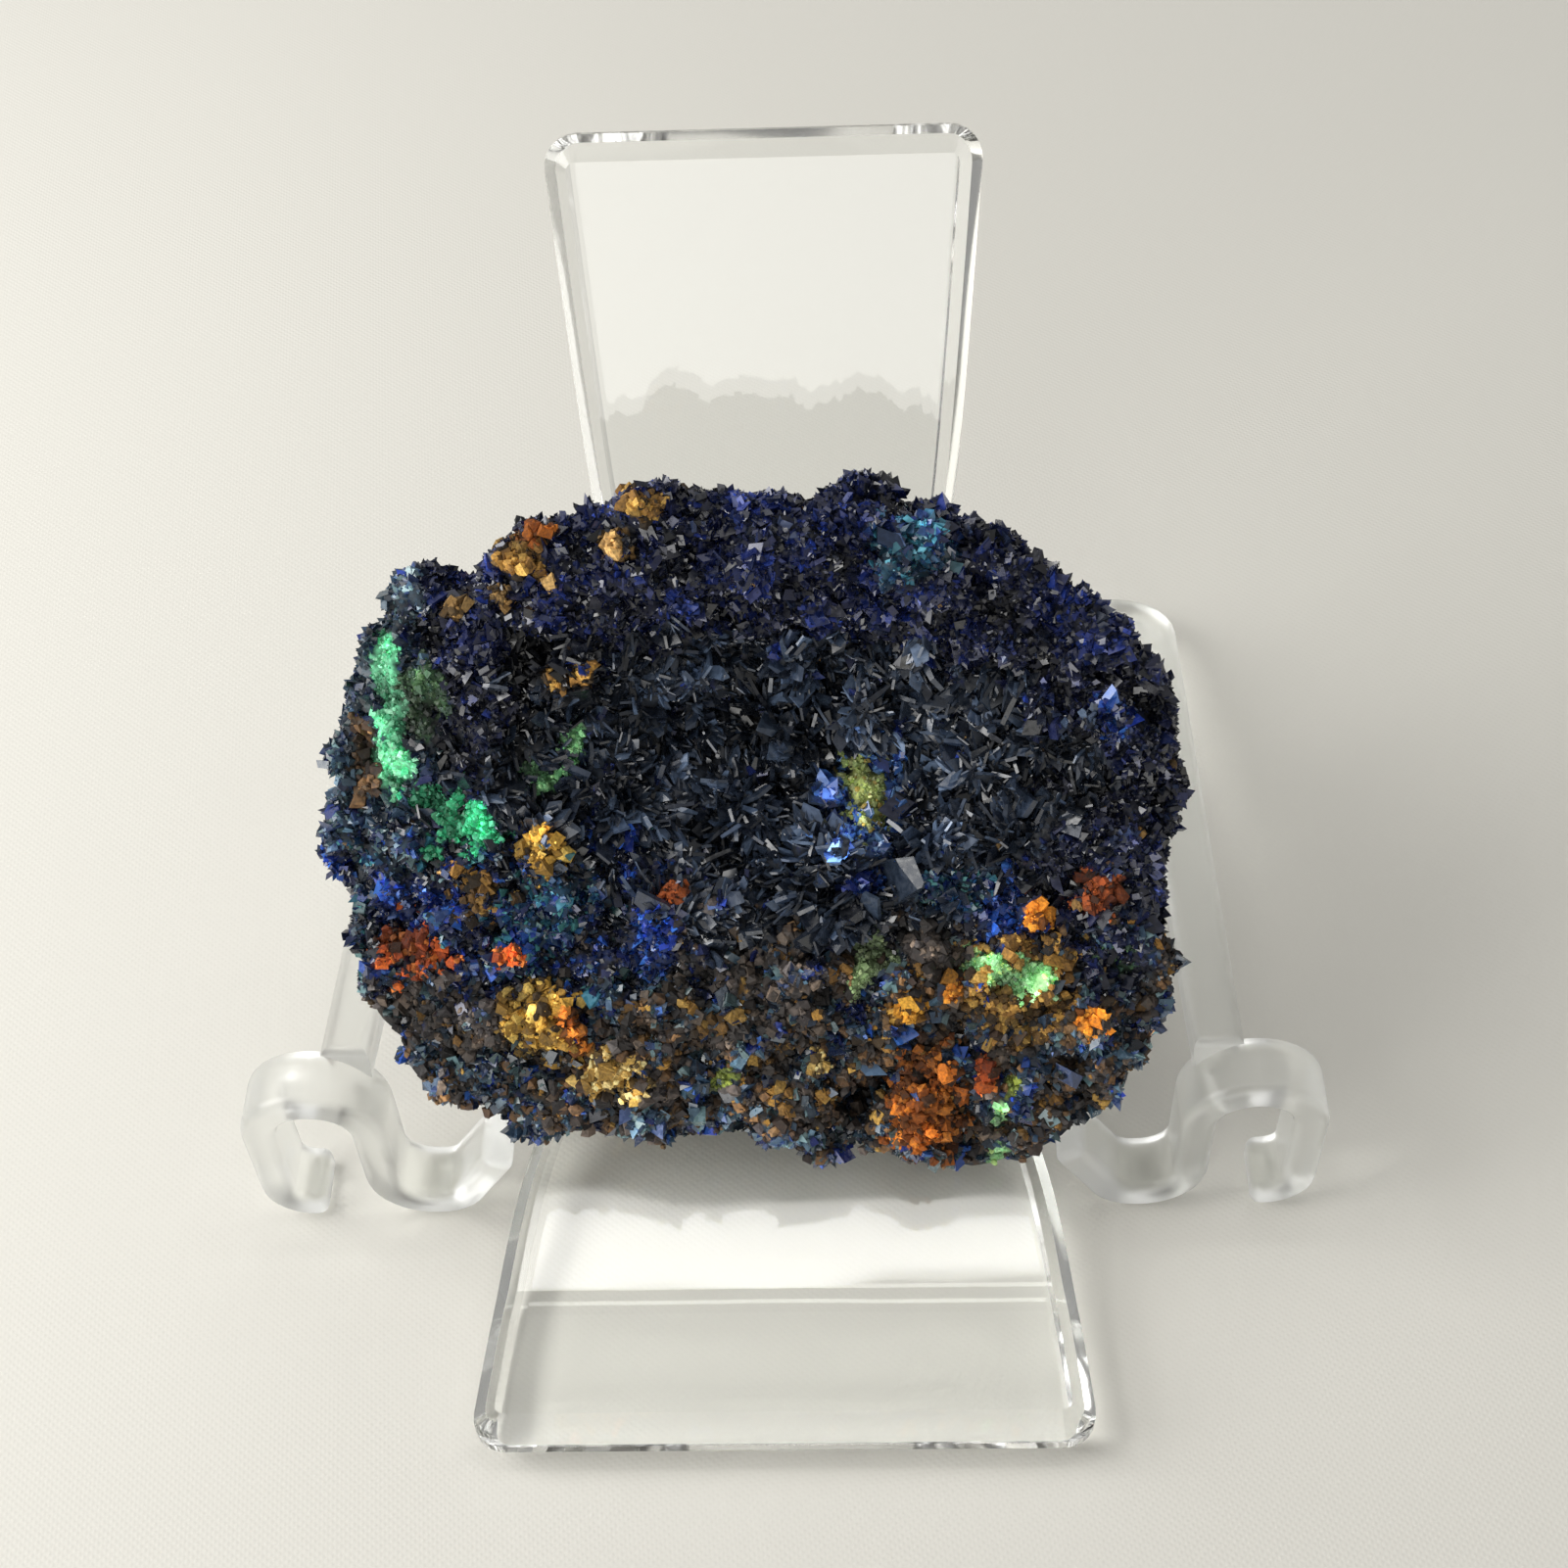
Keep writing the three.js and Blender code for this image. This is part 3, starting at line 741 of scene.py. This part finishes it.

# %% [markdown]
# ## Stone materials
# Azurite is a copper carbonate with a high index of refraction, about 1.75, so its facets flash. Malachite crusts are
# silky and limonite is earthy and quite dull. Each crystal carries its colour, with a random tone and with the dust and
# painted shade of the rock's relief, in an attribute called tint, and the shader adds the fine grain.


# %% Stone materials
def stone_material(name, ior, roughness, grain_mm, bump_mm, mottling):
    """A mineral that takes its colour from the tint attribute, mottled and roughened by fine grain."""
    material, tree = start_material(name)
    place = add_node(tree, "TexCoord").outputs["Object"]
    tint = add_node(tree, "Attribute", attribute_name="tint")
    grain = add_node(tree, "TexNoise", {"Scale": 1 / (grain_mm * MM), "Detail": 1}, {"Vector": place})
    shade = add_node(
        tree,
        "MapRange",
        {"From Min": 0.3, "From Max": 0.7, "To Min": 1 - mottling, "To Max": 1 + mottling},
        {"Value": grain.outputs["Fac"]},
    )
    colour = add_node(
        tree,
        "VectorMath",
        links={0: tint.outputs["Color"], "Scale": shade.outputs["Result"]},
        operation="SCALE",
    )
    dull = add_node(
        tree,
        "MapRange",
        {"From Min": 0.3, "From Max": 0.7, "To Min": roughness[0], "To Max": roughness[1]},
        {"Value": grain.outputs["Fac"]},
    )
    links = {"Base Color": colour.outputs["Vector"], "Roughness": dull.outputs["Result"]}
    if bump_mm:
        bump = add_node(tree, "Bump", {"Strength": 0.6, "Distance": bump_mm * MM}, {"Height": grain.outputs["Fac"]})
        links["Normal"] = bump.outputs["Normal"]
    surface = add_node(tree, "BsdfPrincipled", {"IOR": ior, "Specular IOR Level": 0.5}, links)
    add_node(tree, "OutputMaterial", links={"Surface": surface.outputs["BSDF"]})
    return material


azurite = stone_material("azurite crystal", 1.75, (0.12, 0.38), 0.5, 0, 0.25)
malachite = stone_material("malachite crust", 1.7, (0.45, 0.75), 0.16, 0.06, 0.3)
limonite = stone_material("earthy limonite", 1.5, (0.75, 0.98), 0.2, 0.1, 0.35)
matrix_rock = stone_material("iron-stained matrix rock", 1.5, (0.55, 0.95), 0.35, 0.12, 0.45)
print("four stone materials")

# %% Colour the rock
# How bright the rock is between the crystals of each kind, next to their own colour. The darkening is painted shade, as
# the gaps lie in the crystals' shade.
GAP_PAINTED_SHADES = {"blade": 0.35, "druse": 0.4, "grain": 0.7, "crust": 0.9, "lump": 0.9}


def set_tint(mesh, colours):
    layer = mesh.color_attributes.new("tint", "FLOAT_COLOR", "POINT")
    full = np.concatenate([colours, np.ones((len(colours), 1))], axis=1)
    layer.data.foreach_set("color", full.astype(np.float32).ravel())


palettes = [np.array([linear(c)[:3] for c in FINISHES[name][2]]) for name in FINISH_NAMES]
# The rock in the gaps takes the crystals' mean colour, darkened as painted shade.
gap_colours_in_painted_shade = np.array([p.mean(axis=0) * GAP_PAINTED_SHADES[FINISHES[name][0]] for p, name in zip(palettes, FINISH_NAMES)])
# The rock is darker where its relief sinks and lighter where it rises. This is partly dust in the low places, and
# partly painted shade there and painted light on the bumps.
dust_and_painted_shading = np.exp(np.clip(1.1 * relief, -1.4, 0.8))
set_tint(rock_mesh, gap_colours_in_painted_shade[rock_finish] * dust_and_painted_shading[:, None])
rock_mesh.shade_smooth()
rock = place_mesh("azurite_specimen_rock", rock_mesh, matrix_rock)
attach(rock, "root")
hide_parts("azurite_specimen")
print(rock.name, len(rock_mesh.polygons), "faces")

# %% [markdown]
# ## Crystals
# A few small shapes are cut, and then stamped thousands of times. An azurite blade is a flat prism with chamfered edges
# and a roof-shaped end, so a cube is cut by planes until it looks like one. Grains of rock, crust and limonite are
# crumbs without a crystal form, so each is an icosphere or a cube with its corners pushed about.


# %% Crystal shapes
def cut_crystal(planes):
    """A unit prism on the origin, cut by planes given as a point and a normal."""
    bm = bmesh.new()
    bmesh.ops.create_cube(bm, size=1)
    bmesh.ops.translate(bm, verts=bm.verts, vec=(0, 0, 0.5))
    for point, normal in planes:
        bmesh.ops.bisect_plane(
            bm, geom=bm.verts[:] + bm.edges[:] + bm.faces[:], plane_co=point, plane_no=normal, clear_outer=True
        )
        bmesh.ops.holes_fill(bm, edges=[e for e in bm.edges if e.is_boundary])
    bmesh.ops.recalc_face_normals(bm, faces=bm.faces)
    return bm


def knead(bm, seed, amount):
    """Pushes the corners of a shape about."""
    for vert in bm.verts:
        vert.co += noise.noise_vector(vert.co * 3 + Vector((seed * 5.1, 0, 0))) * amount
    return bm


def to_arrays(bm):
    bmesh.ops.triangulate(bm, faces=bm.faces)
    bm.verts.index_update()
    corners = np.array([v.co for v in bm.verts])
    faces = np.array([[v.index for v in f.verts] for f in bm.faces])
    bm.free()
    return corners, faces


BLADES = [
    [((0, 0, 0.95), (0.75, 0, 0.66)), ((0, 0, 0.95), (-0.6, 0, 0.8)), ((0, 0.38, 0.8), (0, 0.95, 0.3)),
     ((0.4, 0.4, 0), (0.6, 0.8, 0)), ((-0.4, -0.4, 0), (-0.6, -0.8, 0))],
    [((0.1, 0, 1), (0.9, 0, 0.44)), ((0.1, 0, 1), (-0.35, 0, 0.94)), ((0, -0.35, 0.7), (0, -0.9, 0.4)),
     ((0.4, -0.4, 0), (0.6, -0.8, 0))],
    [((-0.15, 0, 1), (0.45, 0.2, 0.87)), ((-0.15, 0, 1), (-0.9, 0, 0.44)), ((0, 0.3, 0.9), (0, 0.8, 0.6)),
     ((0, -0.3, 0.9), (0, -0.8, 0.6))],
]
STUBS = [
    [((0, 0, 0.65), (0.45, 0.15, 0.88))],
    [((0, 0, 0.58), (-0.3, 0.4, 0.86))],
    [((0, 0, 0.53), (0.4, -0.38, 0.83))],
]
blade_shapes = [to_arrays(cut_crystal(planes)) for planes in BLADES]
stub_shapes = [to_arrays(cut_crystal(planes)) for planes in STUBS]
crumb_shapes = []
for seed in range(6):
    crumb = bmesh.new()
    if seed % 2:
        bmesh.ops.create_icosphere(crumb, subdivisions=1, radius=0.5)
    else:
        bmesh.ops.create_cube(crumb, size=0.7)
    crumb_shapes.append(to_arrays(knead(crumb, seed, 0.3)))
for name, shapes in {"blade": blade_shapes, "stub": stub_shapes, "crumb": crumb_shapes}.items():
    print(name, [len(faces) for corners, faces in shapes], "triangles each")

# %% [markdown]
# Points for the crystals are drawn evenly over the rock's triangles with a seeded generator. A blade leans away from
# the middle of its rosette, as crystals do that start from one spot, and its broad side faces a random way.


# %% Draw points on the rock
def scatter(mesh, count):
    """Random points, in mm, spread evenly over a mesh, with their normals and the number of a vertex close by."""
    mesh.calc_loop_triangles()
    corners = np.array([t.vertices for t in mesh.loop_triangles])
    spots = np.empty(len(mesh.vertices) * 3, np.float32)
    mesh.vertices.foreach_get("co", spots)
    a, b, c = (spots.reshape(-1, 3)[corners[:, i]] / MM for i in range(3))
    cross = np.cross(b - a, c - a)
    area = np.linalg.norm(cross, axis=1)
    picks = rng.choice(len(area), size=count, p=area / area.sum())
    s, t = rng.random((2, count))
    s, t = np.where(s + t > 1, 1 - s, s), np.where(s + t > 1, 1 - t, t)
    found = a[picks] + (b - a)[picks] * s[:, None] + (c - a)[picks] * t[:, None]
    print("area", round(float(area.sum() / 2)), "mm2")
    return found, cross[picks] / area[picks][:, None], corners[picks, 0]


def unit(vectors):
    return vectors / np.maximum(np.linalg.norm(vectors, axis=1), 1e-9)[:, None]


POINTS = 97000
spots, ways, nearby = scatter(rock_mesh, POINTS)
spot_finish = read_finish(spots, ways)[0]
# Crystals are larger on some clumps than on others. Some clumps are darker in tone at random. The relief adds dust and
# painted shade in the low places and painted light on the bumps.
spot_growth = np.clip(1 + 0.9 * wander(spots, 2.1, 10), 0.45, 1.9)
spot_tone_and_painted_shade = np.exp(0.9 * wander(spots, 2.4, 11)) * dust_and_painted_shading[nearby]
spot_kind = np.array([FINISHES[name][0] for name in FINISH_NAMES])[spot_finish]
spot_room = np.array([room(p * MM) for p in spots])
print({str(k): int((spot_kind == k).sum()) for k in set(spot_kind)})


# %% Stamp crystals into one mesh
def stamp(name, shapes, where, axes, sizes, colours, material):
    """Joins one copy of a shape at each place. axes are three unit vectors for each copy, sizes three lengths in mm."""
    picks = rng.integers(len(shapes), size=len(where))
    corners, faces, tints, used = [], [], [], 0
    for k, (shape, triangles) in enumerate(shapes):
        mine = picks == k
        local = shape[None] * sizes[mine][:, None]
        placed = where[mine][:, None] + np.einsum("nij,njk->nik", local, axes[mine])
        count = mine.sum()
        corners.append(placed.reshape(-1, 3))
        steps = used + np.arange(count) * len(shape)
        faces.append((triangles[None] + steps[:, None, None]).reshape(-1, 3))
        tints.append(np.repeat(colours[mine], len(shape), axis=0))
        used += count * len(shape)
    mesh = bpy.data.meshes.new(name)
    mesh.from_pydata((np.concatenate(corners) * MM).tolist(), [], np.concatenate(faces).tolist())
    set_tint(mesh, np.concatenate(tints))
    piece = place_mesh(name, mesh, material)
    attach(piece, "root")
    print(name, len(where), "copies,", len(mesh.polygons), "triangles")
    return piece


def frames(long_ways):
    """Three axes for each crystal: across, thick and long, with the long one given and a random turn about it."""
    across = unit(np.cross(long_ways, rng.normal(size=long_ways.shape)))
    return np.stack([across, np.cross(long_ways, across), long_ways], axis=1)


def pick_colours(which, spread):
    """One of its finish's colours for each crystal, a little lighter or darker at random, with the dust, painted shade
    and painted light of the rock's relief.
    """
    chosen = np.array([palettes[f][rng.integers(len(palettes[f]))] for f in spot_finish[which]])
    return chosen * (spot_tone_and_painted_shade[which] * np.exp(rng.normal(0, spread, size=len(chosen))))[:, None]


def lean_from(where, out, centres, amount):
    """Each crystal's direction: out of the rock and away from the nearest rosette's middle."""
    nearest = centres[np.argmin(((where[:, None] - centres[None]) ** 2).sum(axis=2), axis=1)]
    away = unit(where - nearest + rng.normal(0, 0.25, size=where.shape))
    return unit(out + away * amount[:, None] + rng.normal(0, 0.2, size=where.shape))


# Share of the points that grow a crystal, where it isn't all of them.
SHARES = {"back": 0.07, "charcoal": 0.57, "hole": 0.5}
share = np.array([SHARES.get(name, 1) for name in FINISH_NAMES])
free = (spot_room > 0.5) & (rng.random(POINTS) < share[spot_finish])
rosettes = spots[rng.choice(POINTS, size=260, replace=False)]

# %% Blades of the bowl
mine = free & (spot_kind == "blade")
where, out = spots[mine], ways[mine]
count = len(where)
length = (rng.gamma(5, 0.15, count) + 0.35) * spot_growth[mine]
sizes = np.stack([length * rng.uniform(0.38, 0.75, count), length * rng.uniform(0.09, 0.18, count), length], axis=1)
axes = frames(lean_from(where, out, rosettes, rng.uniform(0.3, 1.6, count)))
where = where - axes[:, 2] * (length * 0.22)[:, None]
stamp("azurite_blades", blade_shapes, where, axes, sizes, pick_colours(mine, 0.3), azurite)

# %% Druse of the rim
upper = (spots - STONE_MIDDLE) @ FACE_UP > 0
for name, half in (("azurite_druse_upper", upper), ("azurite_druse_lower", ~upper)):
    mine = free & (spot_kind == "druse") & half
    where = spots[mine]
    count = len(where)
    length = (rng.gamma(4, 0.09, count) + 0.2) * spot_growth[mine]
    sizes = np.stack([length * rng.uniform(0.5, 0.9, count), length * rng.uniform(0.3, 0.6, count), length], axis=1)
    axes = frames(unit(ways[mine] + rng.normal(0, 0.4, size=where.shape)))
    where = where - axes[:, 2] * (length * 0.3)[:, None]
    stamp(name, stub_shapes, where, axes, sizes, pick_colours(mine, 0.3), azurite)

# %% Grains, crusts and lumps
# kind of crystal: piece, material, copies per point, usual and largest crumb in mm, spread in mm
GRAINS = {
    "grain": ("matrix_grains", matrix_rock, 1, 0.42, 1.1, 0.1),
    "crust": ("malachite_crust", malachite, 2, 0.24, 0.6, 0.1),
    "lump": ("limonite_lumps", limonite, 2, 0.38, 1.2, 0.12),
}
for kind, (name, material, copies, usual, large, spread) in GRAINS.items():
    mine = np.repeat(np.flatnonzero(free & (spot_kind == kind)), copies)
    where = spots[mine] + rng.normal(0, spread, size=(len(mine), 3))
    size = np.clip(rng.gamma(2, usual / 2, len(mine)), 0.12, large)
    sizes = size[:, None] * rng.uniform(0.7, 1.2, size=(len(mine), 3))
    axes = frames(unit(rng.normal(size=(len(mine), 3))))
    stamp(name, crumb_shapes, where, axes, sizes, pick_colours(mine, 0.25), material)

# %% Print the sizes of the CAD model and of the pieces
boxes = {"cad": [list(c) for c in cad_box], "visual": [list(c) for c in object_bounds()]}
for name, (low, high) in boxes.items():
    print(name, [round(x / MM, 1) for x in low], [round(x / MM, 1) for x in high])
